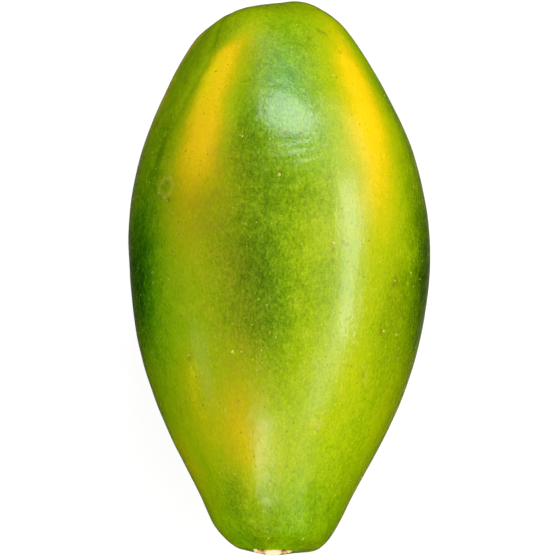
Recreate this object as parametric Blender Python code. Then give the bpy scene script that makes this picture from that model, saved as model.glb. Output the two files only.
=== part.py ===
"""A whole papaya as picked, lying on its side: one grown piece, so one closed solid.

Metres, +Z up. The fruit lies along Y with its blossom end at +Y and its stalk scar at -Y, and
rests on a small flat spot at z = 0. Angles round the fruit are measured from +Z towards +X.
"""

import math

import bmesh
import bpy
from mathutils import Matrix, Vector, geometry

MM = 0.001

# Driving dimensions, in millimetres.
LENGTH = 220.0
SEGMENTS_ROUND = 64
STEPS_PER_SPAN = 5

# The outline of one half of the fruit: (distance from the blossom end, distance from the core).
BLOSSOM_DIMPLE = [(1.0, 0.0), (0.8, 2.4), (0.1, 5.4)]
BODY = [
    (0.0, 7.0),
    (1.5, 13.0),
    (5.2, 20.3),
    (14.4, 31.6),
    (36.0, 43.6),
    (64.0, 54.4),
    (100.0, 59.3),
    (136.0, 55.1),
    (168.0, 44.2),
    (197.0, 29.2),
    (209.0, 23.2),
    (215.9, 16.9),
]
# The rind ends in a low lip round the paler tissue that the stalk was torn from.
SCAR_RADIUS = 10.0
SCAR_LIP = (217.6, SCAR_RADIUS + 0.8)
STALK_SCAR = [
    (217.5, SCAR_RADIUS),
    (218.5, 8.4),
    (218.4, 7.4),
    (219.3, 6.4),
    (LENGTH, 5.0),
    (LENGTH, 0.0),
]
SCAR_TILT = math.radians(7)  # the scar faces up by this much
SCAR_TILT_REACH = 26.0

# Five seed chambers push the rind out in five soft lobes.
LOBES = 5
FIRST_LOBE_ANGLE = math.radians(-27)
BELLY_LOBE_RELIEF = 0.6
BLOSSOM_LOBE_RELIEF = 0.8
BLOSSOM_REACH = 38.0
GROOVE_DEPTH = 0.6
GROOVE_HALF_ANGLE = math.radians(15)
STALK_LOBE_RELIEF = 0.6
STALK_REACH = 30.0
# Nearer the core than this there is no room for lobes, so they die away.
FULL_RELIEF_RADIUS = 36.0

# No fruit is quite straight: the core bends towards +X in the middle and again at each tip.
CORE_BOW = 1.5
BLOSSOM_LEAN = 0.6
BLOSSOM_LEAN_REACH = 16.0
BLOSSOM_TURN = math.radians(3)  # the blossom end looks a little towards -X
STALK_LEAN = 1.0
STALK_LEAN_REACH = 14.0

# Set down free, the fruit settles with its lighter stalk end this much lower.
REST_TILT = math.radians(2)
FLAT_SPOT_DEPTH = 0.6  # how much of the belly the fruit's own weight has pressed flat

RIND_COLOUR = (0.27, 0.42, 0.01, 1.0)
SCAR_COLOUR = (0.80, 0.66, 0.38, 1.0)


def clear_scene():
    for old in list(bpy.data.objects):
        bpy.data.objects.remove(old, do_unlink=True)


def material(name, colour, roughness):
    made = bpy.data.materials.new(name)
    made.use_nodes = True
    shader = made.node_tree.nodes["Principled BSDF"]
    shader.inputs["Base Color"].default_value = colour
    shader.inputs["Roughness"].default_value = roughness
    shader.inputs["Metallic"].default_value = 0.0
    return made


def smooth_points(corners, steps):
    """Points along a smooth curve that passes through the corners, with steps in each span."""
    corners = [Vector((along, out, 0.0)) for along, out in corners]
    slopes = []
    for i in range(len(corners)):
        before = corners[max(i - 1, 0)]
        after = corners[min(i + 1, len(corners) - 1)]
        slopes.append((after - before).normalized())
    points = []
    for i in range(len(corners) - 1):
        start, end = corners[i], corners[i + 1]
        reach = (end - start).length / 3
        span = geometry.interpolate_bezier(
            start, start + slopes[i] * reach, end - slopes[i + 1] * reach, end, steps + 1
        )
        points += span[:-1]
    return points + [corners[-1]]


def outline_points():
    """The whole half outline, from the blossom end's dimple to the middle of the stalk scar."""
    rind = smooth_points(BLOSSOM_DIMPLE + BODY + [SCAR_LIP], STEPS_PER_SPAN)
    return rind + [Vector((along, out, 0.0)) for along, out in STALK_SCAR]


def fade(distance, reach):
    """1 at distance 0, falling smoothly to 0 at reach."""
    share = min(max(distance / reach, 0.0), 1.0)
    return 1.0 - share * share * (3.0 - 2.0 * share)


def relief(angle, along, out):
    """How far the rind stands out from the turned outline, in millimetres."""
    at_blossom = fade(along, BLOSSOM_REACH)
    at_stalk = fade(LENGTH - along, STALK_REACH)
    height = BELLY_LOBE_RELIEF * (1.0 - at_blossom) * (1.0 - at_stalk)
    height += BLOSSOM_LOBE_RELIEF * at_blossom + STALK_LOBE_RELIEF * at_stalk
    from_crest = angle - FIRST_LOBE_ANGLE
    off_groove = (from_crest % (math.tau / LOBES)) - math.pi / LOBES
    groove = GROOVE_DEPTH * math.exp(-((off_groove / GROOVE_HALF_ANGLE) ** 2)) * at_blossom
    return (height * math.cos(LOBES * from_crest) - groove) * (1.0 - fade(out, FULL_RELIEF_RADIUS))


def turned_body():
    """The outline spun round the core, which lies along Y."""
    body = bmesh.new()
    chain = [body.verts.new((0.0, -p.x * MM, p.y * MM)) for p in outline_points()]
    edges = [body.edges.new(pair) for pair in zip(chain, chain[1:])]
    bmesh.ops.spin(
        body,
        geom=chain + edges,
        cent=(0.0, 0.0, 0.0),
        axis=(0.0, 1.0, 0.0),
        angle=math.tau,
        steps=SEGMENTS_ROUND,
        use_merge=True,
    )
    bmesh.ops.remove_doubles(body, verts=body.verts, dist=0.00001)
    bmesh.ops.recalc_face_normals(body, faces=body.faces)
    body.normal_update()
    return body


def colour_scar(body):
    """Faces inside the rind's lip take the scar's material."""
    for face in body.faces:
        face.material_index = int(-face.calc_center_median().y / MM > SCAR_LIP[0])


def grow_lobes(body):
    for vert in body.verts:
        out = math.hypot(vert.co.x, vert.co.z) / MM
        angle = math.atan2(vert.co.x, vert.co.z)
        vert.co += vert.normal * relief(angle, -vert.co.y / MM, out) * MM


def bend_core(body):
    """Bows the core sideways, leans both tips and turns the stalk scar up a little."""
    for vert in body.verts:
        along = -vert.co.y / MM
        from_stalk = LENGTH - along
        bow = CORE_BOW * math.sin(math.pi * min(max(along / LENGTH, 0.0), 1.0))
        bow += BLOSSOM_LEAN * fade(along, BLOSSOM_LEAN_REACH)
        bow += STALK_LEAN * fade(from_stalk, STALK_LEAN_REACH)
        vert.co.y += vert.co.z * math.tan(SCAR_TILT) * fade(from_stalk, SCAR_TILT_REACH)
        vert.co.y += vert.co.x * math.tan(BLOSSOM_TURN) * fade(along, BLOSSOM_LEAN_REACH)
        vert.co.x += bow * MM


def lay_down(body):
    """Tips the fruit as it settles, then presses its belly flat where it meets the table."""
    bmesh.ops.rotate(body, verts=body.verts, matrix=Matrix.Rotation(REST_TILT, 3, "X"))
    table = min(vert.co.z for vert in body.verts) + FLAT_SPOT_DEPTH * MM
    cut = bmesh.ops.bisect_plane(
        body,
        geom=body.verts[:] + body.edges[:] + body.faces[:],
        dist=0.00001,
        plane_co=(0.0, 0.0, table),
        plane_no=(0.0, 0.0, 1.0),
        clear_inner=True,
    )
    rim = [item for item in cut["geom_cut"] if isinstance(item, bmesh.types.BMEdge)]
    bmesh.ops.edgenet_fill(body, edges=rim)
    bmesh.ops.recalc_face_normals(body, faces=body.faces)


def set_on_origin(body):
    """Moves the fruit so that the origin is on the table, under the middle of its box."""
    low = [min(vert.co[axis] for vert in body.verts) for axis in range(3)]
    high = [max(vert.co[axis] for vert in body.verts) for axis in range(3)]
    middle = Vector(((low[0] + high[0]) / 2, (low[1] + high[1]) / 2, low[2]))
    bmesh.ops.translate(body, verts=body.verts, vec=-middle)


def papaya():
    body = turned_body()
    colour_scar(body)
    grow_lobes(body)
    bend_core(body)
    lay_down(body)
    set_on_origin(body)
    mesh = bpy.data.meshes.new("papaya")
    body.to_mesh(mesh)
    body.free()
    mesh.materials.append(material("papaya_rind", RIND_COLOUR, 0.36))
    mesh.materials.append(material("stalk_scar", SCAR_COLOUR, 0.85))
    mesh.shade_smooth()
    fruit = bpy.data.objects.new("papaya", mesh)
    bpy.context.scene.collection.objects.link(fruit)
    return fruit


clear_scene()
papaya()
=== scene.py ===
# %% [markdown]
# # A whole papaya, dressed over its CAD solid
#
# The fruit lies on its side on a pale table and is seen from above. The CAD solid already has the
# right size and form, but it is faceted and has one flat colour. This script turns a much finer
# rind from the same outline, lets it grow the same lobes, paints it from green to golden yellow,
# and adds what a hand would find on it: the torn stalk scar, the dry blossom scar, raised pores
# and healed scratches.

# %% Load the frame
import math
import random

import bmesh
import bpy
import numpy as np
from mathutils import Matrix, Vector, geometry, noise


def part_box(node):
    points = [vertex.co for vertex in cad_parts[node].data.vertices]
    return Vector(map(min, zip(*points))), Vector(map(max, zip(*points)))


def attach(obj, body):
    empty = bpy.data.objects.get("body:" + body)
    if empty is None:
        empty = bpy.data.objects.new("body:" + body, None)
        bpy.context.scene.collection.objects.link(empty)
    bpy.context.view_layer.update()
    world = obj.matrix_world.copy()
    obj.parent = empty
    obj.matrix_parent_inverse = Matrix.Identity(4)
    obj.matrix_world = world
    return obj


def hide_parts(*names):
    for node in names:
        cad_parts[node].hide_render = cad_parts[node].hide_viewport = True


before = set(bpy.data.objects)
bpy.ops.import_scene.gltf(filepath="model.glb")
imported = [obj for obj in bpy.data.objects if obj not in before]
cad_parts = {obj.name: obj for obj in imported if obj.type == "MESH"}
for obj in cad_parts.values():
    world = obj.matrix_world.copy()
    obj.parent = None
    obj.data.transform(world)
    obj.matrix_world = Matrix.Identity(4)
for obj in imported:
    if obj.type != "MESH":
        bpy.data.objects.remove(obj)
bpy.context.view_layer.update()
MM = 0.001
low, high = (Vector(corner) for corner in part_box("papaya"))
middle = (low + high) / 2
print("solid, mm:", [round(size / MM, 1) for size in high - low])

# %% [markdown]
# ## The camera
#
# A long lens far away keeps the fruit from looking swollen in its middle, as a short lens close by
# would make it. The camera stands over the stalk end and looks steeply down, so the stalk scar is
# seen almost edge on and the blossom end curves out of sight.

# %% Camera
CAMERA_ELEVATION = math.radians(74)
CAMERA_DISTANCE = 1.6
LENS_MM = 264.0
AIM_OFFSET = Vector((0.0003, -0.0018, 0.0))

aim = middle + AIM_OFFSET
back = Vector((0.0, -math.cos(CAMERA_ELEVATION), math.sin(CAMERA_ELEVATION)))
camera = bpy.data.objects.new("camera", bpy.data.cameras.new("camera"))
camera.data.lens = LENS_MM
camera.location = aim + back * CAMERA_DISTANCE
camera.rotation_euler = (-back).to_track_quat("-Z", "Y").to_euler()
bpy.context.scene.collection.objects.link(camera)
bpy.context.scene.camera = camera
print("camera at", [round(v, 3) for v in camera.location])

# %% [markdown]
# ## The outline
#
# A papaya is close to a turned shape, so it starts as half an outline, given by a few stations:
# how far each is from the blossom end, and how far from the core. A smooth curve through them
# gives as many points as the mesh needs. Drawing every point by hand would leave small bumps that
# a glossy rind shows at once.

# %% Outline stations, in millimetres
LENGTH = 220.0
BLOSSOM_DIMPLE = [(1.0, 0.0), (0.8, 2.4), (0.1, 5.4)]
BODY = [  # along, out
    (0.0, 7.0), (1.5, 13.0), (5.2, 20.3), (14.4, 31.6), (36.0, 43.6), (64.0, 54.4), (100.0, 59.3),
    (136.0, 55.1), (168.0, 44.2), (197.0, 29.2), (209.0, 23.2), (215.9, 16.9),
]
SCAR_LIP = [(217.5, 11.6), (218.5, 8.6), (218.6, 7.9), (218.1, 7.3), (216.8, 7.0), (216.8, 0.0)]
POINT_SPACING = 0.95


def smooth_points(corners, spacing):
    """Points along a smooth curve through the corners, no further apart than the spacing."""
    corners = [Vector((along, out, 0.0)) for along, out in corners]
    slopes = []
    for i in range(len(corners)):
        before = corners[max(i - 1, 0)]
        after = corners[min(i + 1, len(corners) - 1)]
        slopes.append((after - before).normalized())
    points = []
    for i in range(len(corners) - 1):
        start, end = corners[i], corners[i + 1]
        length = (end - start).length
        steps = max(2, math.ceil(length / spacing))
        reach = length / 3
        span = geometry.interpolate_bezier(
            start, start + slopes[i] * reach, end - slopes[i + 1] * reach, end, steps + 1
        )
        points += span[:-1]
    return points + [corners[-1]]


outline = smooth_points(BLOSSOM_DIMPLE + BODY + SCAR_LIP, POINT_SPACING)
print("outline points:", len(outline))

# %% [markdown]
# ## Turning the rind
#
# The outline is spun round the core like clay on a wheel. Every point then remembers where on the
# fruit it is, as an angle round it (0 is uppermost, positive towards +X) and a distance from the
# blossom end. The growth, the colours and the placing of every small mark are later said in these
# two numbers, which is how one would describe them with the fruit in hand. A stretched sphere
# could be pushed to the same form, but its points would have no such simple numbers.

# %% Spin the outline
STEPS_ROUND = 300
ON_CORE = 0.000001


def turn(points, steps):
    """A bmesh of the points spun round the Y axis, with closed ends where they reach it."""
    body = bmesh.new()
    chain = [body.verts.new((0.0, -p.x * MM, p.y * MM)) for p in points]
    edges = [body.edges.new(pair) for pair in zip(chain, chain[1:])]
    bmesh.ops.spin(
        body,
        geom=chain + edges,
        cent=(0.0, 0.0, 0.0),
        axis=(0.0, 1.0, 0.0),
        angle=math.tau,
        steps=steps,
        use_merge=True,
    )
    poles = [vert for vert in body.verts if vert.co.xz.length < ON_CORE]
    bmesh.ops.remove_doubles(body, verts=poles, dist=ON_CORE)
    bmesh.ops.recalc_face_normals(body, faces=body.faces)
    body.normal_update()
    return body


def points_of(body):
    return np.array([vert.co for vert in body.verts])


def normals_of(body):
    return np.array([vert.normal for vert in body.verts])


def move_points(body, points):
    for vert, point in zip(body.verts, points):
        vert.co = point
    body.normal_update()


def places_of(points):
    """Each point's angle in degrees, and its distance from the blossom end and the core in mm."""
    x, y, z = points.T / MM
    return np.degrees(np.arctan2(x, z)), -y, np.hypot(x, z)


rind = turn(outline, STEPS_ROUND)
angle, along, out = places_of(points_of(rind))
print("rind points:", len(angle), "faces:", len(rind.faces))

# %% [markdown]
# ## Growth
#
# Five seed chambers push the rind out in five soft lobes, which pull in to shallow grooves round
# the blossom end. The core isn't quite straight either. These are the rules that the solid was
# made by, so the fine rind lies on it. A sculpted shape would need to be matched by eye.

# %% Lobes, and the bend of the core
LOBES = 5
FIRST_LOBE_ANGLE = -27.0
BELLY_LOBE_RELIEF = 0.6
BLOSSOM_LOBE_RELIEF = 0.8
BLOSSOM_REACH = 38.0
GROOVE_DEPTH = 0.6
GROOVE_HALF_ANGLE = 15.0
STALK_LOBE_RELIEF = 0.6
STALK_REACH = 30.0
FULL_RELIEF_RADIUS = 36.0
CORE_BOW = 1.5
BLOSSOM_LEAN = 0.6
BLOSSOM_LEAN_REACH = 16.0
BLOSSOM_TURN = math.radians(3)
STALK_LEAN = 1.0
STALK_LEAN_REACH = 14.0
SCAR_TILT = math.radians(7)
SCAR_TILT_REACH = 26.0


def fade(distance, reach):
    """1 at distance 0, falling smoothly to 0 at reach."""
    share = np.clip(distance / reach, 0.0, 1.0)
    return 1.0 - share * share * (3.0 - 2.0 * share)


def hill(distance, reach):
    """1 at distance 0, falling away softly to both sides, to about a third at the reach."""
    return np.exp(-((distance / reach) ** 2))


def lobes():
    """How far the lobes stand out from the turned outline, in millimetres."""
    at_blossom = fade(along, BLOSSOM_REACH)
    at_stalk = fade(LENGTH - along, STALK_REACH)
    height = BELLY_LOBE_RELIEF * (1.0 - at_blossom) * (1.0 - at_stalk)
    height = height + BLOSSOM_LOBE_RELIEF * at_blossom + STALK_LOBE_RELIEF * at_stalk
    from_crest = angle - FIRST_LOBE_ANGLE
    off_groove = from_crest % (360.0 / LOBES) - 180.0 / LOBES
    groove = GROOVE_DEPTH * hill(off_groove, GROOVE_HALF_ANGLE) * at_blossom
    ridges = height * np.cos(np.radians(LOBES * from_crest)) - groove
    return ridges * (1.0 - fade(out, FULL_RELIEF_RADIUS))


def bend(points):
    """Bows the core sideways, leans both tips and turns the stalk scar up a little."""
    x, y, z = points.T
    from_blossom = -y / MM
    from_stalk = LENGTH - from_blossom
    bow = CORE_BOW * np.sin(np.pi * np.clip(from_blossom / LENGTH, 0.0, 1.0))
    bow += BLOSSOM_LEAN * fade(from_blossom, BLOSSOM_LEAN_REACH)
    bow += STALK_LEAN * fade(from_stalk, STALK_LEAN_REACH)
    scar_turn = math.tan(SCAR_TILT) * fade(from_stalk, SCAR_TILT_REACH)
    blossom_turn = math.tan(BLOSSOM_TURN) * fade(from_blossom, BLOSSOM_LEAN_REACH)
    return np.stack([x + bow * MM, y + z * scar_turn + x * blossom_turn, z], axis=1)


relief = lobes()
print("lobe relief, mm:", round(float(relief.min()), 2), "to", round(float(relief.max()), 2))

# %% [markdown]
# ## Small unevenness
#
# A real rind is never as smooth as a formula. Broad shallow dents make the highlights wander, and
# low ridges run lengthways like the fibres under them. Both are real relief here, because bump in
# a material can't change the outline and is lost when the mesh is used without it. The noise is
# read in a space that is pulled long, so its features run along the fruit.

# %% Dents, ripples and fibres
DENT_DEPTH = 0.30
DENT_SIZE = 34.0
RIPPLE_DEPTH = 0.11
RIPPLE_SIZE = 10.0
FIBRE_DEPTH = 0.055
FIBRE_WIDTH = 2.4
FIBRE_STRETCH = 6.0
TIP_FADE_RADIUS = 12.0


def unevenness(points):
    found = []
    for x, y, z in points / MM:
        place = Vector((x, y, z))
        dent = DENT_DEPTH * noise.noise(place / DENT_SIZE)
        ripple = RIPPLE_DEPTH * noise.noise(place / RIPPLE_SIZE + Vector((9.0, 0.0, 0.0)))
        fibre = FIBRE_DEPTH * noise.noise(Vector((x, y / FIBRE_STRETCH, z)) / FIBRE_WIDTH)
        found.append(dent + ripple + fibre)
    return np.array(found) * np.clip(out / TIP_FADE_RADIUS, 0.0, 1.0)


relief += unevenness(points_of(rind))
print("with unevenness, mm:", round(float(relief.min()), 2), "to", round(float(relief.max()), 2))

# %% [markdown]
# ## One-sided swellings
#
# No papaya is quite the same on both sides. Each swelling says where it is, how far it reaches
# round the fruit in degrees and along it in millimetres, and how much it adds or takes away.
# Sculpting would do as well, but a soft hill with a name can be changed by one number.

# %% Swellings
SWELLINGS = {  # angle, reach in degrees, along, reach in mm, height in mm
    "left shoulder": (-50, 26, 6, 9, 1.4),
    "right shoulder": (52, 20, 4, 8, 0.1),
    "beside the right shoulder": (80, 30, 28, 30, -0.5),
    "left hip": (-90, 36, 108, 20, -0.9),
    "left of the neck": (-90, 40, 165, 44, -0.8),
    "right of the neck": (70, 40, 150, 36, -0.1),
    "left of the crown": (-36, 34, 2, 5, -1.7),
    "top of the crown": (10, 40, 2, 5, -0.5),
    "over the stalk scar": (0, 55, 218, 6, 1.1),
    "under the stalk scar": (180, 60, 218, 6, -0.9),
    "right of the stalk scar": (75, 30, 217, 5, 0.6),
}


def degrees_from(centre):
    """How far round the fruit each point of the rind is from an angle, from -180 to 180."""
    return (angle - centre + 180.0) % 360.0 - 180.0


for centre, reach_round, at, reach_along, height in SWELLINGS.values():
    relief += height * hill(degrees_from(centre), reach_round) * hill(along - at, reach_along)
print("with swellings, mm:", round(float(relief.min()), 2), "to", round(float(relief.max()), 2))

# %% [markdown]
# ## Healed marks
#
# While it hung on the tree, the rind was rubbed and pricked, and it healed with low ridges and
# folds. Each mark is a path over the rind, a few places given as angle and distance, with a width
# and a height. The distance of every point from the path gives the height there, and the same
# number later tells the material where the cork is. Brown marks lie flat and have a colour alone.
# Loose strips laid on the rind would show a gap under them at the outline.

# %% Ridges and folds
FOLDS = {  # path of (angle, along), half-width and height in mm
    "shoulder groove": ([(-44, 8), (-42, 20), (-40, 33), (-50, 56), (-62, 76)], 2.2, -0.35),
    "shoulder crease": ([(-70, 34), (-58, 38), (-46, 43)], 1.3, -0.22),
    "upper brush mark": ([(-2, 72.5), (6, 71), (13, 69.5)], 0.9, -0.05),
    "middle brush mark": ([(0, 76), (9, 74), (18, 71.5)], 1.0, -0.06),
    "lower brush mark": ([(3, 80), (11, 77.5), (17, 75.5)], 0.9, -0.05),
    "crease over the top light": ([(-8, 46), (-3, 47), (2, 45.5)], 0.9, -0.06),
    "neck fold": ([(30, 203), (44, 205), (58, 204)], 1.6, -0.25),
    "neck fold behind": ([(-150, 204), (-128, 207), (-104, 205)], 1.8, -0.30),
    "belly press": ([(120, 96), (128, 112), (124, 130)], 4.0, -0.30),
}
CORKY_RIDGES = {  # path, half-width and height in mm, and how pale it is
    "ring scar": (
        [
            (-52, 82.4), (-49.5, 80.8), (-46, 81.6), (-44.3, 84.5), (-45.6, 88),
            (-49, 89), (-52, 87), (-52.8, 84.4), (-52, 82.4),
        ],
        0.7, 0.18, 1.0,
    ),
    "rub mark": ([(19, 175.6), (22, 177.4), (26, 176.8)], 0.8, 0.14, 0.7),
    "scratch": ([(39.6, 154.5), (41.5, 157), (43.2, 160)], 0.7, 0.14, 0.5),
    "branch rub": ([(160, 66), (163, 74), (161, 84), (164, 90)], 1.1, 0.20, 0.9),
    "twig scratch": ([(-118, 120), (-114, 131), (-115, 139)], 0.9, 0.16, 0.8),
}
BROWN_MARKS = {  # path, half-width in mm, and how brown it is
    "left of the ring scar": ([(-51.5, 87.4), (-50.4, 88.6)], 0.7, 0.9),
    "below the ring scar": ([(-46.4, 89.4), (-45.6, 90.6)], 0.7, 0.9),
    "under the wart": ([(20.6, 112.8), (20.0, 114.4)], 0.6, 0.6),
    "below the wart": ([(20.2, 117.2), (21.0, 118.4)], 0.6, 0.6),
    "beside the wart": ([(24.4, 110.2), (24.8, 111.4)], 0.7, 0.6),
    "over the wart": ([(20.0, 84.4), (18.6, 85.6)], 0.6, 0.6),
    "hook": ([(49.0, 120.0), (50.2, 121.6), (48.8, 123.4), (47.6, 123.0)], 0.7, 0.8),
    "beside the scratch": ([(40.8, 157.0), (41.2, 158.2)], 0.7, 0.7),
    "below the scratch": ([(42.6, 161.5)], 0.7, 0.6),
    "left crease in the top light": ([(1.8, 67.6), (3.4, 67.9)], 0.6, 0.8),
    "right crease in the top light": ([(8.4, 67.4), (9.8, 67.9)], 0.6, 0.9),
    "left crown speck": ([(27.6, 19.6), (28.4, 20.2)], 0.7, 0.7),
    "right crown speck": ([(30.6, 20.4), (31.6, 21.2)], 0.7, 0.7),
    "shoulder speck": ([(37.0, 29.0)], 0.7, 0.7),
    "crown pit": ([(19.6, 23.6)], 0.8, 0.6),
    "left bruise": ([(-68.6, 53.0), (-67.6, 54.6)], 1.1, 0.5),
    "right bruise": ([(58.0, 49.4), (58.6, 50.8)], 0.9, 0.5),
    "edge of the right streak": ([(44.8, 140.6), (45.4, 142.0)], 0.8, 0.6),
    "belly speck": ([(-3.2, 130.6)], 0.8, 0.6),
    "neck speck": ([(-3.0, 167.6)], 0.8, 0.5),
    "left neck speck": ([(-41.8, 151.6)], 0.8, 0.7),
}


STOPS_PER_POINT = 12
PLAINLY_SEEN = 0.2


def from_path(path):
    """Each point's distance from a path over the rind, in millimetres."""
    path_angles, path_alongs = zip(*path)
    stops = np.linspace(0, len(path) - 1, STOPS_PER_POINT * len(path))
    nearest = np.full(len(angle), np.inf)
    for stop in stops:
        stop_angle = np.interp(stop, range(len(path)), path_angles)
        stop_along = np.interp(stop, range(len(path)), path_alongs)
        aside = np.radians(degrees_from(stop_angle)) * out
        nearest = np.minimum(nearest, np.hypot(aside, along - stop_along))
    return nearest


cork = np.zeros(len(angle))
for path, half_width, height in FOLDS.values():
    relief += height * hill(from_path(path), half_width)
for path, half_width, height, pale in CORKY_RIDGES.values():
    on_path = hill(from_path(path), half_width)
    relief += height * on_path
    cork = np.maximum(cork, on_path * pale)
stain = np.zeros(len(angle))
for path, half_width, brown in BROWN_MARKS.values():
    stain = np.maximum(stain, brown * hill(from_path(path), half_width))
print("corky points:", int((cork > PLAINLY_SEEN).sum()))
print("brown points:", int((stain > PLAINLY_SEEN).sum()))

# %% [markdown]
# ## The lip round the stalk scar
#
# The rind closes over the stalk scar from above and below, so its opening is an oval, and it isn't
# quite in the middle of the end. The turned opening is round, and is pinched towards the core where
# it is high or low. Then the relief is laid on and the core is bent.

# %% Pinch the opening, lay the relief on
PINCH = 0.40  # share of the height that is taken away
PINCH_FROM = 7.0
PINCH_REACH = 8.0
SCAR_ASIDE = -1.9

grown = points_of(rind) + normals_of(rind) * relief[:, None] * MM
at_scar = (along > LENGTH / 2) * fade(out - PINCH_FROM, PINCH_REACH)
grown[:, 0] += SCAR_ASIDE * MM * at_scar
grown[:, 2] *= 1.0 - PINCH * at_scar
move_points(rind, bend(grown))

# %% [markdown]
# ## Laying it down
#
# Set down free, the fruit settles with its lighter stalk end a little lower, and it is pressed
# flat where it touches the table. The points are turned and moved, and not the object, so the
# finished piece sits unturned at the origin. The two scars are turned round the straight core too,
# and take the same steps.

# %% Lay the rind on the table
REST_TILT = Matrix.Rotation(math.radians(2), 3, "X")
FLAT_SPOT_DEPTH = 0.6

points = points_of(rind) @ np.array(REST_TILT.transposed())
table = points[:, 2].min() + FLAT_SPOT_DEPTH * MM
points[:, 2] = np.maximum(points[:, 2], table)
settle = np.array(middle) - (points.min(axis=0) + points.max(axis=0)) / 2
settle[1] = high.y - points[:, 1].max()
settle[2] = -table
move_points(rind, points + settle)
rind_points, rind_normals = points_of(rind), normals_of(rind)


def lay_down(body):
    move_points(body, bend(points_of(body)) @ np.array(REST_TILT.transposed()) + settle)


print("settled by, mm:", [round(float(v) / MM, 2) for v in settle])
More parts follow.
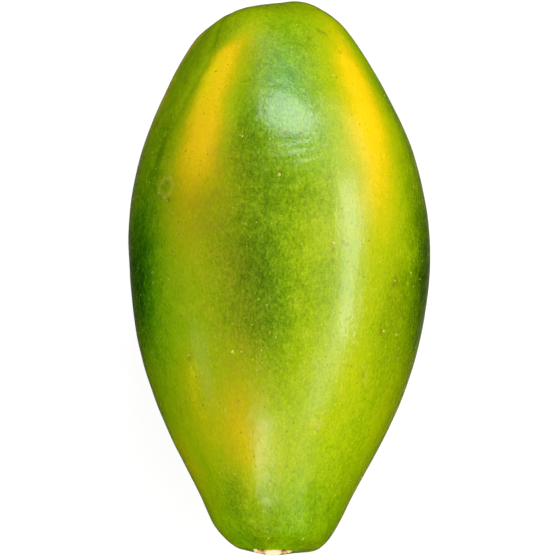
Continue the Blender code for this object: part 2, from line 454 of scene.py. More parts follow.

# %% [markdown]
# ## Ripening
#
# A papaya ripens in streaks that start at the blossom end and creep towards the stalk, while the
# green between them stays dark. A texture picture would freeze one view of that. Here each streak
# is a short list of stations instead: how far along the fruit, at what angle, how wide to each
# side in degrees, and how strong. The sums are stored on the points as attributes, which the
# material turns into colour. Not all of it is ripening: the flank streaks are partly painted shade,
# and the rim streaks are partly painted rim light along the outline.

# %% Ripe and green streaks, with painted shade and painted rim light
UNRIPE = [  # along, and how ripe the rind is there with no streak
    (0, 0.68), (12, 0.62), (20, 0.58), (60, 0.57), (90, 0.55), (120, 0.57),
    (150, 0.64), (175, 0.71), (190, 0.72), (202, 0.62), (217, 0.50),
]
RIPE_AND_PAINTED_LIGHT_STREAKS = {  # stations of (along, angle, half-width in degrees, strength)
    "left streak": [
        (12, -12, 9, 0.0), (21, -18, 9, 0.18), (30, -27, 12, 0.42), (40, -30, 13, 0.46),
        (55, -33, 12, 0.46), (70, -34, 12, 0.44), (80, -36, 13, 0.38), (90, -36, 13, 0.32),
        (105, -37, 13, 0.24), (125, -38, 12, 0.15), (145, -41, 12, 0.15), (158, -42, 11, 0.16),
        (170, -42, 13, 0.10), (185, -43, 13, 0.03), (200, -40, 14, 0.0),
    ],
    "inner edge of the left streak": [
        (50, -22, 7, 0.0), (62, -24, 7, 0.11), (80, -25, 7, 0.15), (94, -22, 8, 0.07),
        (104, -20, 8, 0.0),
    ],
    "lower patch": [
        (140, -24, 9, 0.0), (154, -18, 12, 0.09), (166, -20, 12, 0.13), (180, -21, 12, 0.17),
        (190, -20, 12, 0.15), (200, -16, 11, 0.05), (208, -15, 10, 0.0),
    ],
    "left of the lower patch": [
        (140, -38, 8, 0.0), (150, -38, 9, 0.02), (176, -41, 10, 0.02), (188, -44, 10, 0.04),
        (196, -44, 10, 0.0),
    ],
    "light patch in the middle": [
        (94, 14, 8, 0.0), (104, 15, 9, 0.09), (116, 15, 9, 0.05), (126, 15, 9, 0.0),
    ],
    "inner edge of the right streak": [
        (24, 25, 7, 0.0), (40, 25, 7, 0.04), (80, 25, 7, 0.04), (150, 25, 8, 0.04),
        (160, 25, 8, 0.0),
    ],
    "green left of the neck": [
        (182, -42, 14, 0.0), (194, -40, 16, -0.10), (206, -38, 16, -0.13), (217, -38, 16, -0.06),
    ],
    "inside the ring scar": [(81, -48.5, 4, 0.0), (84, -48.5, 4, -0.14), (88, -48.5, 4, 0.0)],
    "green under the crown": [
        (28, 0, 9, 0.0), (42, 0, 10, -0.08), (60, 0, 10, -0.07), (72, 4, 10, -0.03),
        (84, 10, 9, 0.0),
    ],
    "green between the streaks": [
        (40, -12, 8, 0.0), (60, -12, 8, -0.10), (72, -14, 8, -0.18), (90, -6, 12, -0.22),
        (110, -9, 11, -0.23), (128, -6, 12, -0.29), (142, -7, 12, -0.29), (152, -9, 12, -0.15),
        (162, -2, 14, -0.06), (172, 4, 12, -0.04), (184, 4, 12, 0.0),
    ],
    "right streak": [
        (0, 44, 12, 0.0), (10, 41, 12, 0.10), (22, 39, 13, 0.27), (32, 40, 14, 0.39),
        (42, 41, 14, 0.45), (60, 40, 15, 0.44), (80, 40, 15, 0.38), (95, 39, 14, 0.32),
        (108, 38, 13, 0.24), (122, 38, 12, 0.15), (140, 36, 13, 0.10), (160, 34, 14, 0.09),
        (176, 32, 13, 0.05), (190, 28, 12, 0.0),
    ],
    "green below the right streak": [
        (112, 50, 8, 0.0), (128, 50, 8, -0.06), (140, 47, 7, -0.12), (152, 46, 8, 0.0),
    ],
    "green beside the neck": [
        (110, 62, 10, 0.0), (130, 62, 10, -0.05), (160, 52, 12, -0.06), (176, 46, 22, -0.09),
        (190, 46, 20, -0.12), (204, 48, 18, -0.09), (214, 40, 13, 0.0),
    ],
    "green outside the left streak": [
        (50, -57, 6, 0.0), (62, -56, 6, -0.10), (76, -56, 7, -0.09), (90, -56, 7, 0.0),
    ],
    # Partly the rind's own dark green, and partly painted shade where the light falls off towards
    # the left outline.
    "left flank": [
        (70, -62, 12, 0.0), (82, -64, 13, -0.10), (100, -72, 15, -0.34), (125, -73, 15, -0.40),
        (140, -77, 14, -0.20), (156, -78, 14, 0.0),
    ],
    "far left green": [
        (84, -104, 18, 0.0), (104, -102, 20, -0.16), (160, -102, 20, -0.10), (190, -104, 18, 0.0),
    ],
    "far right green": [
        (96, 106, 16, 0.0), (112, 104, 18, -0.14), (160, 104, 18, -0.10), (190, 106, 16, 0.0),
    ],
    # Partly a yellow streak, and partly painted rim light that brightens the rind along the left
    # outline.
    "left rim": [
        (0, -60, 26, 0.30), (14, -74, 22, 0.34), (30, -79, 20, 0.32), (44, -78, 17, 0.36),
        (56, -82, 17, 0.28), (72, -86, 14, 0.10), (84, -86, 14, 0.0),
    ],
    "left of the neck": [
        (164, -76, 16, 0.0), (180, -76, 18, 0.12), (206, -76, 18, 0.10), (217, -76, 18, 0.0),
    ],
    # Partly a yellow streak, and partly painted rim light that brightens the rind along the right
    # outline.
    "right rim": [
        (2, 58, 12, 0.12), (12, 58, 12, 0.18), (22, 66, 12, 0.32), (32, 72, 13, 0.34),
        (42, 78, 12, 0.22), (70, 80, 12, 0.12), (90, 80, 14, 0.08), (106, 80, 14, 0.0),
    ],
    # Partly the rind's own dark green, and partly painted shade where the light falls off towards
    # the right outline.
    "right flank": [
        (60, 72, 10, -0.02), (80, 74, 12, -0.14), (95, 74, 13, -0.34), (120, 75, 14, -0.42),
        (140, 78, 14, -0.22), (165, 78, 14, 0.0),
    ],
    "far right streak": [
        (6, 112, 10, 0.05), (30, 116, 11, 0.36), (70, 118, 10, 0.34), (104, 118, 9, 0.0),
    ],
    "underside streak": [
        (4, 188, 12, 0.0), (24, 189, 12, 0.28), (60, 190, 11, 0.22), (90, 190, 9, 0.0),
    ],
    "far left streak": [
        (8, -104, 10, 0.0), (26, -103, 10, 0.28), (56, -102, 9, 0.18), (84, -102, 8, 0.0),
    ],
    "underside green": [
        (50, 155, 22, 0.0), (100, 152, 24, -0.18), (160, 156, 24, -0.10), (195, 156, 24, 0.0),
    ],
    "underside left green": [
        (70, -142, 18, 0.0), (110, -140, 20, -0.20), (160, -140, 20, -0.08), (190, -140, 20, 0.0),
    ],
}


def painted(streaks):
    """The sum of the streaks at each point of the rind."""
    total = np.zeros(len(angle))
    for stations in streaks.values():
        at, centres, widths, strengths = zip(*stations)
        centre = np.interp(along, at, centres)
        width = np.interp(along, at, widths)
        strength = np.interp(along, at, strengths)
        total += strength * hill(degrees_from(centre), width)
    return total


ripeness_and_painted_light = np.interp(along, *zip(*UNRIPE)) + painted(RIPE_AND_PAINTED_LIGHT_STREAKS)
print("ripeness:", round(float(ripeness_and_painted_light.min()), 2), "to", round(float(ripeness_and_painted_light.max()), 2))

# %% Russet and fresh green streaks
RUSSET_STREAKS = {  # stations as above
    "tail of the left streak": [
        (74, -42, 7, 0.0), (84, -43, 8, 0.35), (94, -38, 9, 0.4), (104, -36, 9, 0.25),
        (118, -34, 8, 0.0),
    ],
    "inner edge of the left streak": [
        (22, -15, 6, 0.0), (32, -15, 7, 0.3), (44, -16, 7, 0.2), (56, -18, 7, 0.0),
    ],
    "olive band": [
        (54, -21, 8, 0.0), (66, -21, 8, 0.35), (80, -21, 10, 0.65), (92, -22, 11, 0.8),
        (104, -22, 11, 0.7), (118, -20, 11, 0.65), (132, -18, 11, 0.55), (148, -16, 12, 0.65),
        (160, -16, 13, 0.65), (172, -18, 13, 0.45), (184, -24, 12, 0.35), (196, -28, 10, 0.25),
        (208, -28, 10, 0.0),
    ],
    "right of the right streak": [
        (8, 40, 9, 0.1), (24, 46, 9, 0.0), (44, 58, 9, 0.0), (70, 56, 10, 0.12), (92, 52, 10, 0.08),
        (112, 50, 9, 0.12), (130, 50, 9, 0.35), (150, 50, 11, 0.15), (176, 50, 14, 0.0),
    ],
    "right flank": [
        (50, 74, 9, 0.0), (70, 77, 10, 0.1), (106, 77, 10, 0.1), (128, 77, 10, 0.15),
        (150, 76, 12, 0.2), (172, 76, 12, 0.0),
    ],
}
FRESH_STREAKS = {
    "under the crown": [
        (6, 8, 14, 0.35), (30, 5, 12, 0.8), (44, 4, 13, 1.2), (62, 4, 14, 1.1), (76, 10, 12, 0.6),
        (92, 14, 9, 0.0),
    ],
    "left flank": [
        (8, -68, 20, 1.8), (32, -70, 16, 1.6), (66, -70, 14, 0.8), (84, -66, 16, 0.8),
        (104, -64, 18, 1.0), (124, -62, 18, 1.1), (142, -58, 20, 0.95), (158, -68, 20, 0.75),
        (172, -74, 20, 0.85), (186, -62, 20, 0.8), (206, -64, 20, 0.7), (217, -64, 24, 0.7),
    ],
    "green beside the lower patch": [
        (90, -46, 10, 0.0), (130, -42, 11, 0.4), (148, -40, 12, 0.7), (162, -39, 13, 0.6),
        (174, -41, 13, 0.1), (188, -46, 12, 0.0),
    ],
    "edge of the left streak": [
        (26, -38, 8, 0.2), (36, -38, 9, 0.85), (48, -40, 8, 0.7), (62, -42, 8, 0.1),
    ],
    "right of the neck": [
        (140, 25, 10, 0.1), (156, 26, 12, 0.3), (176, 24, 14, 0.25), (196, 22, 18, 0.3),
        (210, 22, 24, 0.5), (218, 22, 24, 0.6),
    ],
    "right shoulder": [
        (0, 56, 16, 0.8), (12, 60, 14, 1.4), (24, 66, 12, 2.0), (40, 72, 11, 1.4),
        (60, 74, 10, 0.4), (74, 76, 10, 0.0),
    ],
    "right rim of the neck": [
        (172, 74, 14, 0.0), (188, 74, 14, 0.5), (208, 72, 14, 0.6), (217, 72, 14, 0.3),
    ],
}

russet = painted(RUSSET_STREAKS)
fresh = painted(FRESH_STREAKS)
print("russet up to", round(float(russet.max()), 2))
print("fresh green up to", round(float(fresh.max()), 2))

# %% [markdown]
# ## The rind as a mesh
#
# The attributes travel with the mesh. One more is the grain, a place on the fruit as if it were
# nearly unrolled. Noise read there runs lengthways and narrows towards both tips, as the cells of
# the rind do, where plain object coordinates would leave the flecks as wide at the tips.

# %% Store the attributes
GRAIN_RADIUS = 15.0
GRAIN_SHARE = 0.75


def store(mesh, name, values, kind="FLOAT"):
    attribute = mesh.attributes.new(name, kind, "POINT")
    field = "value" if kind == "FLOAT" else "vector"
    attribute.data.foreach_set(field, np.asarray(values, dtype=np.float32).ravel())


def finished(name, body):
    """The body as a smooth mesh on an object of that name."""
    mesh = bpy.data.meshes.new(name)
    body.to_mesh(mesh)
    body.free()
    mesh.shade_smooth()
    piece = bpy.data.objects.new(name, mesh)
    bpy.context.scene.collection.objects.link(piece)
    print(name, "faces:", len(mesh.polygons))
    return piece


grain_out = GRAIN_RADIUS + out * GRAIN_SHARE
turned = np.radians(angle)
grain = np.stack([np.sin(turned) * grain_out, -along, np.cos(turned) * grain_out], axis=1) * MM

rind_object = finished("rind", rind)
growth = {"ripeness_and_painted_light": ripeness_and_painted_light, "russet": russet, "fresh": fresh, "cork": cork, "stain": stain}
for name, values in growth.items():
    store(rind_object.data, name, values)
store(rind_object.data, "grain", grain, "FLOAT_VECTOR")

# %% [markdown]
# ## The stalk scar
#
# A picked papaya keeps a round corky scar where the stalk broke off: a pale core of pith, a ring of
# dark pits where the sap vessels were, and a torn fibrous collar that the rind closes over. It is
# turned from its own short outline, like the rind, but with steps of a quarter of a millimetre, as
# its detail is that small. Cutting it from the rind's mesh would leave its steps far too coarse.

# %% Outline and pits of the stalk scar
SCAR_OUTLINE = [
    (214.6, 0.0), (214.6, 6.4), (217.2, 7.9), (218.2, 7.5), (218.8, 6.6), (219.0, 5.6),
    (218.6, 4.9), (218.9, 4.4), (219.2, 3.9), (219.6, 3.0), (219.9, 1.6), (220.0, 0.0),
]
SCAR_SPACING = 0.25
SCAR_STEPS = 150
PITS = [  # angle, distance from the core, radius, depth
    (-80, 4.9, 1.3, 1.3), (84, 4.6, 1.3, 1.4), (112, 4.9, 0.7, 0.8), (-118, 4.7, 0.7, 0.9),
    (150, 4.5, 0.6, 0.7), (-150, 4.6, 0.6, 0.7), (60, 4.6, 0.6, 0.8), (-62, 4.5, 0.6, 0.7),
    (26, 4.6, 0.5, 0.6), (-24, 4.5, 0.5, 0.6), (180, 4.6, 0.5, 0.6), (-105, 6.3, 0.5, 0.5),
    (98, 6.6, 0.5, 0.5),
]

scar = turn(smooth_points(SCAR_OUTLINE, SCAR_SPACING), SCAR_STEPS)
scar_points = points_of(scar)
scar_angle, _, scar_out = places_of(scar_points)
pit_depth = np.zeros(len(scar_out))
for pit_angle, pit_out, pit_radius, depth in PITS:
    pit_x = pit_out * math.sin(math.radians(pit_angle))
    pit_z = pit_out * math.cos(math.radians(pit_angle))
    away = np.hypot(scar_points[:, 0] / MM - pit_x, scar_points[:, 2] / MM - pit_z)
    pit_depth += depth * hill(away, pit_radius)
print("deepest pit, mm:", round(float(pit_depth.max()), 2))

# %% Tear the collar into fibres
DEEPEST_PIT = 1.4
CORE_ROUGHNESS = 0.10
COLLAR_ROUGHNESS = 0.45
COLLAR_FROM = 3.6
COLLAR_WIDTH = 3.0
COLLAR_SINK = 1.6  # above and below, where the rind closes over it
RAYS_PER_DEGREE, RAYS_PER_MM = 0.15, 0.6
CRUMBS_PER_MM = 1.4
CRUMB_SHARE = 0.6

fibres = []
for (x, _, z), fibre_angle, fibre_out in zip(scar_points / MM, scar_angle, scar_out):
    ray = noise.noise(Vector((fibre_angle * RAYS_PER_DEGREE, fibre_out * RAYS_PER_MM, 4.0)))
    crumb = noise.noise(Vector((x * CRUMBS_PER_MM, z * CRUMBS_PER_MM, 8.0)))
    fibres.append(ray + CRUMB_SHARE * crumb)
collar = np.clip((scar_out - COLLAR_FROM) / COLLAR_WIDTH, 0.0, 1.0)
roughness = CORE_ROUGHNESS + (COLLAR_ROUGHNESS - CORE_ROUGHNESS) * collar
sunk = np.minimum(pit_depth, DEEPEST_PIT) - np.array(fibres) * roughness
sunk += COLLAR_SINK * collar * np.cos(np.radians(scar_angle)) ** 2
scar_points[:, 0] += SCAR_ASIDE * MM
scar_points[:, 1] = np.maximum(scar_points[:, 1] + sunk * MM, -LENGTH * MM)
move_points(scar, scar_points)
lay_down(scar)
scar_object = finished("stalk_scar", scar)
store(scar_object.data, "pit", np.clip(pit_depth, 0.0, 1.0))
store(scar_object.data, "from_core", scar_out)

# %% [markdown]
# ## The blossom scar
#
# The flower left a small dry star in the dimple at the other end. It is a low turned button with
# five rays raised on it, one over each seed chamber. Five rays laid on one by one would need
# joining, while a raised pattern leaves the button closed.

# %% Turn the blossom scar
BUTTON_OUTLINE = [
    (1.9, 0.0), (1.9, 3.2), (1.1, 3.1), (0.75, 2.5), (0.8, 1.7), (0.55, 1.0), (0.45, 0.0),
]
BUTTON_STEPS = 80
RAY_HEIGHT = 0.28
RAY_FULL_AT = 2.0  # from the core, where a ray has risen to its full height
RAY_FALLS_FROM, RAY_FALL = 2.2, 0.9

button = turn(smooth_points(BUTTON_OUTLINE, SCAR_SPACING), BUTTON_STEPS)
button_points = points_of(button)
button_angle, _, button_out = places_of(button_points)
rays = np.cos(np.radians(LOBES * (button_angle - FIRST_LOBE_ANGLE)))
rays *= np.clip(button_out / RAY_FULL_AT, 0.0, 1.0)
rays *= 1.0 - np.clip((button_out - RAY_FALLS_FROM) / RAY_FALL, 0.0, 1.0)
button_points[:, 1] += RAY_HEIGHT * rays * MM
move_points(button, button_points)
lay_down(button)
button_object = finished("blossom_scar", button)

# %% [markdown]
# ## Raised pores
#
# Corky pores and small warts stand a little proud of the rind. A few have a place of their own, and
# the rest are scattered by a seeded draw, so that every run puts them in the same places. Each is
# the same low dome with few faces, as there are many. All are one mesh, since they are one thing
# to whoever uses the part.

# %% Set the pores on the rind
PORE_SEED = 7
SCATTERED_PORES = 150
NAMED_PORES = [  # angle, along, radius in mm
    (0, 85.5, 0.68), (20, 111, 0.64), (19.5, 86, 0.4), (23, 178, 0.59), (24.7, 110, 0.36),
    (21.3, 118.7, 0.36), (49, 121.7, 0.32), (27, 172.7, 0.32), (-8, 188, 0.3), (-41, 169, 0.34),
    (-52.5, 86, 0.36), (-46, 88, 0.32), (-47, 91, 0.28), (-43.5, 96, 0.32), (-5, 135, 0.3),
    (7, 133, 0.26), (8, 138.5, 0.26), (-3, 145, 0.26), (-1.5, 147, 0.26), (-7, 151, 0.26),
    (-10, 154, 0.29), (-9, 158, 0.26), (-7, 156, 0.26), (-15, 158.6, 0.26), (-42, 150.6, 0.4),
    (-14, 192, 0.36), (41, 67.5, 0.32), (42, 72, 0.36), (43.5, 81, 0.36), (40, 155, 0.32),
]
PORE_FLATNESS = 0.4
PORE_STRETCH = 1.3
PORES_FROM, PORES_TO, MOST_PORES_AT = 8, 212, 120
SMALLEST_PORE, LARGEST_PORE = 0.18, 0.34
LEAST_RADIUS = 5.0  # nearer the core, degrees count as if the rind were this far out


def on_rind(at_angle, at_along):
    """The place and normal of the rind's nearest point."""
    aside = np.radians(degrees_from(at_angle)) * np.maximum(out, LEAST_RADIUS)
    nearest = np.argmin(aside**2 + (along - at_along) ** 2)
    return Vector(rind_points[nearest]), Vector(rind_normals[nearest])


draw = random.Random(PORE_SEED)
pores = list(NAMED_PORES)
for _ in range(SCATTERED_PORES):
    at_angle = draw.uniform(-180, 180)
    at_along = draw.triangular(PORES_FROM, PORES_TO, MOST_PORES_AT)
    pores.append((at_angle, at_along, draw.uniform(SMALLEST_PORE, LARGEST_PORE)))
pore_body = bmesh.new()
for at_angle, at_along, radius in pores:
    spot, normal = on_rind(at_angle, at_along)
    upright = normal.to_track_quat("Z", "Y").to_matrix().to_4x4()
    wide, long, tall = radius * MM, radius * MM * PORE_STRETCH, radius * MM * PORE_FLATNESS
    place = Matrix.Translation(spot) @ upright @ Matrix.Diagonal((wide, long, tall, 1.0))
    bmesh.ops.create_uvsphere(pore_body, u_segments=8, v_segments=5, radius=1.0, matrix=place)
print("raised pores:", len(pores))
pore_object = finished("raised_pores", pore_body)

# %% [markdown]
# ## Materials
#
# A few helpers keep the node trees short to read. `paint` takes a colour as it looks on a screen
# and gives the linear one that a shader mixes. `place_node` adds a node and takes the values of its
# sockets, or what is plugged into them, by name.


# %% Helpers for node trees
def paint(red, green, blue):
    """The linear colour of a screen colour from 0 to 255."""
    screen = np.array([red, green, blue]) / 255.0
    linear = np.where(screen <= 0.04045, screen / 12.92, ((screen + 0.055) / 1.055) ** 2.4)
    return (*linear.tolist(), 1.0)


def place_node(tree, kind, sockets=None, **settings):
    node = tree.nodes.new("ShaderNode" + kind)
    for name, value in settings.items():
        setattr(node, name, value)
    for name, value in (sockets or {}).items():
        socket = node.inputs[name]
        if isinstance(value, bpy.types.NodeSocket):
            tree.links.new(value, socket)
        else:
            socket.default_value = value
    return node


def maths(tree, operation, first, second):
    return place_node(tree, "Math", {0: first, 1: second}, operation=operation).outputs[0]


def times(tree, first, second):
    return maths(tree, "MULTIPLY", first, second)


def plus(tree, first, second):
    return maths(tree, "ADD", first, second)


def blend(tree, share, below, above):
    """One colour laid over another by the share."""
    sockets = {0: share, 6: below, 7: above}
    return place_node(tree, "Mix", sockets, data_type="RGBA").outputs[2]


def ramp(tree, value, stops):
    """A colour for each value, through the stops, which are (place, colour)."""
    node = place_node(tree, "ValToRGB", {"Fac": value})
    elements = node.color_ramp.elements
    while len(elements) < len(stops):
        elements.new(0.5)
    for element, (place, colour) in zip(elements, stops):
        element.position = place
        element.color = colour
    return node.outputs["Color"]


def window(tree, value, start, end):
    """0 below the start and 1 above the end, with a smooth rise between."""
    sockets = {"Value": value, "From Min": start, "From Max": end}
    return place_node(tree, "MapRange", sockets, interpolation_type="SMOOTHSTEP").outputs["Result"]


def attribute(tree, name, output="Fac"):
    return place_node(tree, "Attribute", attribute_name=name).outputs[output]


def object_place(tree):
    return place_node(tree, "TexCoord").outputs["Object"]


def stretched(tree, place, scale):
    return place_node(tree, "Mapping", {"Vector": place, "Scale": scale}).outputs["Vector"]


def cloud(tree, place, scale, detail=2.0, roughness=0.5):
    sockets = {"Vector": place, "Scale": scale, "Detail": detail, "Roughness": roughness}
    return place_node(tree, "TexNoise", sockets).outputs["Fac"]


def set_finish(shader, finish):
    """Sets what is the same all over a surface on the shader's own sockets."""
    for name, value in finish.items():
        shader.inputs[name].default_value = value


def fresh_material(name, roughness):
    made = bpy.data.materials.new(name)
    made.use_nodes = True
    shader = made.node_tree.nodes["Principled BSDF"]
    set_finish(shader, {"Roughness": roughness})
    return made, made.node_tree, shader


# %% [markdown]
# ## The rind's finish: colour
#
# From a step away the rind is a soft change from green to gold. Close to, it is made of fine
# flecks that run lengthways. Ripeness and flecks are added together before the colour is chosen,
# so the flecks shift the hue as ripening does, and don't lie on it like dust. Fresh growth turns
# the hue a little to green, and russet lays olive brown over it. A picture wrapped round the fruit
# could show the same, but it would stretch at both tips.

# %% Rind colour
SKIN_COLOURS = [
    (0.00, paint(24, 50, 3)),
    (0.10, paint(50, 82, 4)),
    (0.22, paint(78, 115, 3)),
    (0.34, paint(98, 134, 2)),
    (0.46, paint(120, 153, 2)),
    (0.56, paint(140, 168, 2)),
    (0.66, paint(158, 180, 2)),
    (0.76, paint(176, 188, 2)),
    (0.84, paint(196, 190, 2)),
    (0.92, paint(225, 198, 2)),
    (1.00, paint(250, 208, 10)),
]
RUSSET = paint(128, 100, 4)
FRESH_TURN = 0.035
BLOTCH_SHIFT, MOTTLE_SHIFT, FLECK_SHIFT = 0.24, 0.14, 0.28  # in ripeness
MOTTLE_SHADE, FLECK_SHADE, GRIT_SHADE = 0.12, 0.42, 0.75  # in brightness
UNEVEN_GREEN, EVEN_GOLD = 0.3, 0.95  # from this ripeness to that one the flecks grow calmer
STRONGEST, CALMING = 1.5, 1.1
NO_RUSSET, FULL_RUSSET = -0.3, 1.3  # the mottle breaks the russet up a little


def along_grain(tree, place, squeeze, per_metre, detail, roughness):
    """Noise that is drawn out lengthways by squeezing the place it is read at."""
    return cloud(tree, stretched(tree, place, (1.0, squeeze, 1.0)), per_metre, detail, roughness)


def around_zero(tree, value, strength):
    return times(tree, maths(tree, "SUBTRACT", value, 0.5), strength)


rind_material, tree, shader = fresh_material("papaya_rind", 0.3)
grain_place = attribute(tree, "grain", "Vector")
blotches = along_grain(tree, grain_place, 0.7, per_metre=60.0, detail=3.0, roughness=0.55)
mottle = along_grain(tree, grain_place, 0.7, per_metre=240.0, detail=2.5, roughness=0.55)
flecks = along_grain(tree, grain_place, 0.55, per_metre=1000.0, detail=2.0, roughness=0.65)
grit = cloud(tree, grain_place, 1700.0, detail=1.0, roughness=0.5)

shift = around_zero(tree, blotches, BLOTCH_SHIFT)
shift = plus(tree, shift, around_zero(tree, mottle, MOTTLE_SHIFT))
shift = plus(tree, shift, around_zero(tree, flecks, FLECK_SHIFT))
# The ripeness read here also holds painted shade on the flanks and painted rim light along the
# outline.
ripe_and_painted_light = attribute(tree, "ripeness_and_painted_light")
calmer = times(tree, window(tree, ripe_and_painted_light, UNEVEN_GREEN, EVEN_GOLD), CALMING)
fleck_strength = maths(tree, "SUBTRACT", STRONGEST, calmer)
shifted = plus(tree, ripe_and_painted_light, times(tree, shift, fleck_strength))
colour = ramp(tree, shifted, SKIN_COLOURS)

# %% Light and dark flecks, fresh green and russet
hue = plus(tree, times(tree, attribute(tree, "fresh"), FRESH_TURN), 0.5)
shade = around_zero(tree, flecks, FLECK_SHADE)
shade = plus(tree, shade, around_zero(tree, grit, GRIT_SHADE))
shade = plus(tree, shade, around_zero(tree, mottle, MOTTLE_SHADE))
shade = plus(tree, times(tree, shade, fleck_strength), 1.0)
turned_hue = place_node(tree, "HueSaturation", {"Hue": hue, "Value": shade, "Color": colour})
broken_up = window(tree, mottle, NO_RUSSET, FULL_RUSSET)
russet_share = times(tree, attribute(tree, "russet"), broken_up)
colour = blend(tree, russet_share, turned_hue.outputs["Color"], RUSSET)
print("rind colour nodes:", len(tree.nodes))

# %% [markdown]
# ## The rind's finish: pores and specks
#
# Pores show as cream dots, and prickles and old sap as brown and dark green ones. Voronoi cells
# give one dot each, of its own size, and a share of the cells stays bare. A little noise in the
# coordinates keeps the dots from being round. Modelling thousands of them would add nothing, as
# they lie flat.

# %% Dots on the rind
PORE_CREAM = paint(222, 220, 112)
SPECK_BROWN = paint(118, 88, 10)
PIT_GREEN = paint(66, 84, 6)
YELLOW_DOT = paint(202, 208, 20)
CORK_YELLOW = paint(214, 206, 70)
STAIN_BROWN = paint(118, 84, 20)
WOBBLE_PER_METRE, WOBBLE_REACH = 1500.0, 0.0007
LEAST_SIZE = 0.4  # added to a draw from 0 to 1
SOFT_EDGE = 0.5  # of the radius


def dots(tree, place, per_metre, radius, share):
    """1 inside small dots, one to a cell, in this share of the cells, and 0 outside them."""
    cell = place_node(tree, "TexVoronoi", {"Vector": place, "Scale": per_metre})
    draws = place_node(tree, "SeparateColor", {"Color": cell.outputs["Color"]})
    size = times(tree, plus(tree, draws.outputs["Red"], LEAST_SIZE), radius)
    inside = maths(tree, "SUBTRACT", size, cell.outputs["Distance"])
    kept = maths(tree, "LESS_THAN", draws.outputs["Green"], share)
    return times(tree, window(tree, inside, 0.0, radius * SOFT_EDGE), kept)


wobble = place_node(tree, "TexNoise", {"Vector": grain_place, "Scale": WOBBLE_PER_METRE})
sockets = {0: wobble.outputs["Color"], 3: WOBBLE_REACH}
wobbled = place_node(tree, "VectorMath", sockets, operation="SCALE").outputs[0]
dot_place = place_node(tree, "VectorMath", {0: grain_place, 1: wobbled}, operation="ADD").outputs[0]
brown_place = stretched(tree, dot_place, (1.0, 0.9, 1.0))
pit_place = stretched(tree, dot_place, (1.0, 0.8, 1.0))
cream_pores = dots(tree, dot_place, per_metre=170.0, radius=0.075, share=0.40)
yellow_dots = dots(tree, dot_place, per_metre=420.0, radius=0.16, share=0.50)
brown_specks = dots(tree, brown_place, per_metre=400.0, radius=0.14, share=0.42)
green_pits = dots(tree, pit_place, per_metre=450.0, radius=0.13, share=0.45)

# %% Dots, cork and brown marks over the colour
for share, strength, tint in (
    (yellow_dots, 0.55, YELLOW_DOT),
    (green_pits, 0.45, PIT_GREEN),
    (brown_specks, 0.7, SPECK_BROWN),
    (cream_pores, 0.85, PORE_CREAM),
    (attribute(tree, "cork"), 0.45, CORK_YELLOW),
    (attribute(tree, "stain"), 0.75, STAIN_BROWN),
):
    colour = blend(tree, times(tree, share, strength), colour, tint)
tree.links.new(colour, shader.inputs["Base Color"])
print("with dots and marks:", len(tree.nodes))

# %% [markdown]
# ## The rind's finish: gloss
#
# A thin wax makes the rind glossy, but its highlights are soft and broken, because the cells below
# it raise tiny bumps. The bumps are too fine for the mesh and go into the normal. The wax is a
# weak coat over the base, and a little sheen stands for the bloom that pales the rind at its edge.

# %% Gloss
MIRROR_MOTTLE, DULL_MOTTLE = -0.6, 3.7  # the mottle at which wax would be smooth, and fully dull
WAX = {
    "IOR": 1.5,
    "Coat Weight": 0.3,
    "Coat Roughness": 0.15,
    "Sheen Weight": 0.3,
    "Sheen Roughness": 0.15,
    "Sheen Tint": (1.0, 1.0, 0.75, 1.0),
}

set_finish(shader, WAX)
tree.links.new(window(tree, mottle, MIRROR_MOTTLE, DULL_MOTTLE), shader.inputs["Roughness"])
print("wax:", WAX)

# %% Bump
BUMP_STRENGTH, BUMP_DISTANCE = 0.15, 0.0005

cells = along_grain(tree, grain_place, 0.7, per_metre=800.0, detail=3.0, roughness=0.65)
bump_height = times(tree, cells, 1.8)
for relief_value, share in ((mottle, 0.9), (cream_pores, 0.5), (green_pits, -0.4)):
    bump_height = plus(tree, bump_height, times(tree, relief_value, share))
sockets = {"Height": bump_height, "Strength": BUMP_STRENGTH, "Distance": BUMP_DISTANCE}
bump = place_node(tree, "Bump", sockets)
tree.links.new(bump.outputs["Normal"], shader.inputs["Normal"])
rind_object.data.materials.append(rind_material)
print("rind material nodes:", len(tree.nodes))

# %% [markdown]
# ## Corky finishes
#
# The pith is cream and dry, the pits are nearly black, and the torn collar is a fibrous pale brown.
# The distance from the core, which the points carry, says which of them a point belongs to. One
# material each would meet in hard rings, where noise in the distance frays them.

# %% Material of the stalk scar
CORK_COLOURS = [
    (0.00, paint(255, 244, 206)),
    (0.34, paint(255, 240, 196)),
    (0.45, paint(226, 184, 104)),
    (0.54, paint(176, 116, 36)),
    (0.64, paint(240, 190, 110)),
    (0.88, paint(255, 232, 178)),
    (1.00, paint(130, 96, 30)),
]
COLLAR_EDGE = 8.2
FIBRE_SPREAD = 1.6  # how far, in mm, the fibres carry one colour into the next
DRIED_SAP = paint(196, 130, 50)
DRIED_SAP_SHARE = 0.3
PIT_BROWN = paint(70, 38, 8)

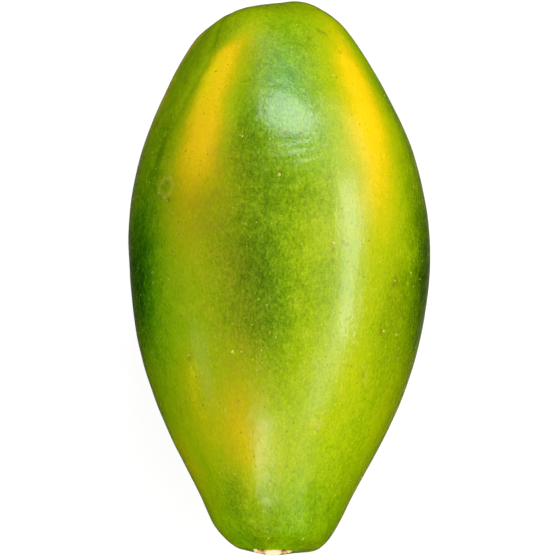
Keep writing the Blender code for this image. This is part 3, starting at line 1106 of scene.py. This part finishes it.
cork_material, tree, shader = fresh_material("stalk_scar_cork", 0.8)
fibre_noise = cloud(tree, object_place(tree), 900.0, detail=3.0, roughness=0.6)
spread = around_zero(tree, fibre_noise, FIBRE_SPREAD)
spread_out = plus(tree, attribute(tree, "from_core"), spread)
cork_colour = ramp(tree, maths(tree, "DIVIDE", spread_out, COLLAR_EDGE), CORK_COLOURS)
sap = times(tree, window(tree, fibre_noise, 0.55, 0.8), DRIED_SAP_SHARE)
cork_colour = blend(tree, sap, cork_colour, DRIED_SAP)
in_pit = window(tree, attribute(tree, "pit"), 0.25, 0.8)
cork_colour = blend(tree, in_pit, cork_colour, PIT_BROWN)
tree.links.new(cork_colour, shader.inputs["Base Color"])
set_finish(shader, {"Specular IOR Level": 0.3})
bump = place_node(tree, "Bump", {"Height": fibre_noise, "Strength": 0.5, "Distance": 0.0003})
tree.links.new(bump.outputs["Normal"], shader.inputs["Normal"])
scar_object.data.materials.append(cork_material)
print("stalk scar material nodes:", len(tree.nodes))

# %% Materials of the blossom scar and the pores
DRY_COLOURS = [(0.3, paint(46, 32, 14)), (0.7, paint(128, 98, 48))]
PORE_COLOURS = [
    (0.35, paint(196, 160, 84)),
    (0.50, paint(208, 206, 100)),
    (0.65, paint(170, 136, 50)),
]

dry_material, tree, shader = fresh_material("dry_blossom", 0.85)
dry_noise = cloud(tree, object_place(tree), 1200.0, detail=3.0, roughness=0.6)
tree.links.new(ramp(tree, dry_noise, DRY_COLOURS), shader.inputs["Base Color"])
button_object.data.materials.append(dry_material)

pore_material, tree, shader = fresh_material("pore_cork", 0.5)
pore_noise = cloud(tree, object_place(tree), 60.0, detail=3.0, roughness=0.7)
tree.links.new(ramp(tree, pore_noise, PORE_COLOURS), shader.inputs["Base Color"])
pore_object.data.materials.append(pore_material)
print("materials:", len(bpy.data.materials))

# %% [markdown]
# ## Table, light and air
#
# The table is a plain white light table, as used for pictures of fruit, so shadows stay faint. A
# broad light behind the blossom end and a long one on the right give a glossy fruit its two main
# highlights. Lamps of a real size reflect as soft patches, where small lamps would leave hard
# white dots.

# %% Light table
TABLE_SIZE = 12.0
GLOWING_WHITE = {
    "Base Color": (0.30, 0.30, 0.30, 1.0),
    "Specular IOR Level": 0.0,
    "Emission Color": (1.0, 1.0, 1.0, 1.0),
    "Emission Strength": 0.82,
}

table_top = bmesh.new()
bmesh.ops.create_grid(table_top, x_segments=1, y_segments=1, size=TABLE_SIZE / 2)
table_object = finished("table_top", table_top)
table_material, tree, shader = fresh_material("white_light_table", 0.9)
set_finish(shader, GLOWING_WHITE)
table_object.data.materials.append(table_material)
table_object.visible_glossy = False
table_object.visible_diffuse = False

# %% Softboxes
LIGHT_DISTANCE = 1.5
WHITE = (1.0, 1.0, 1.0)
COOL = (0.95, 1.0, 1.0)


def softbox(name, azimuth, elevation, width, height, brightness, shape="ELLIPSE", tint=WHITE):
    """A flat lamp that faces the fruit, placed and sized by angles in degrees.

    Azimuth turns from +Y towards +X. Brightness is that of its face.
    """
    turn_angle, rise = math.radians(azimuth), math.radians(elevation)
    level = math.cos(rise)
    toward = Vector((math.sin(turn_angle) * level, math.cos(turn_angle) * level, math.sin(rise)))
    lamp = bpy.data.lights.new(name, "AREA")
    lamp.shape = shape
    lamp.size = 2 * LIGHT_DISTANCE * math.tan(math.radians(width / 2))
    lamp.size_y = 2 * LIGHT_DISTANCE * math.tan(math.radians(height / 2))
    area = lamp.size * lamp.size_y * (math.pi / 4 if shape == "ELLIPSE" else 1.0)
    lamp.energy = brightness * area * math.pi
    lamp.color = tint
    holder = bpy.data.objects.new(name, lamp)
    holder.location = middle + toward * LIGHT_DISTANCE
    holder.rotation_euler = toward.to_track_quat("Z", "Y").to_euler()
    holder.visible_camera = False
    bpy.context.scene.collection.objects.link(holder)
    return holder


softbox("light_behind", 12, 41, 30, 21, 6.0, tint=(0.94, 1.0, 1.0))
softbox("light_behind_low", 5, 25, 30, 20, 0.7)
softbox("light_right_behind", 52, 32, 48, 34, 0.8)
softbox("light_right", 84, 41, 46, 11, 3.7, "RECTANGLE", COOL)
softbox("light_right_wide", 86, 41, 50, 24, 0.9, tint=COOL)
softbox("light_right_high", 84, 58, 44, 18, 0.4)
softbox("light_right_front", 127, 42, 36, 12, 2.0)
softbox("light_front_right", 155, 30, 13, 34, 0.6)
softbox("light_front", 187, 38.7, 12, 3.5, 4.2)
softbox("light_front_middle", 187, 38.5, 18, 7, 1.9)
softbox("light_front_wide", 187, 43, 28, 16, 0.75)
softbox("light_left", 251, 12, 16, 14, 0.45)
low_fill = softbox("light_front_low", 176, 6, 80, 16, 5.6)
low_fill.visible_glossy = False
print("softboxes:", len(bpy.data.lights))

# %% Air
AIR_WHITE = (0.97, 0.97, 0.97, 1.0)
AIR_FILL = 0.72
DARKEST_DOWN, BRIGHTEST_UP = -0.9, 0.9

world = bpy.data.worlds.new("air")
world.use_nodes = True
bpy.context.scene.world = world
tree = world.node_tree
ray_kind = place_node(tree, "LightPath").outputs
looking = place_node(tree, "TexCoord").outputs["Generated"]
direction = place_node(tree, "SeparateXYZ", {"Vector": looking})
from_above = window(tree, direction.outputs["Z"], DARKEST_DOWN, BRIGHTEST_UP)
fill = times(tree, from_above, AIR_FILL)
fill = times(tree, ray_kind["Is Diffuse Ray"], fill)
backdrop = tree.nodes["Background"].inputs
backdrop["Color"].default_value = AIR_WHITE
tree.links.new(plus(tree, fill, ray_kind["Is Camera Ray"]), backdrop["Strength"])
bpy.context.scene.view_settings.view_transform = "Standard"
print("air nodes:", len(tree.nodes))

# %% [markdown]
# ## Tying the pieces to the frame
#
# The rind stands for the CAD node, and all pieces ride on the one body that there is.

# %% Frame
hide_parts("papaya")
for piece in (rind_object, scar_object, button_object, pore_object):
    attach(piece, "root")
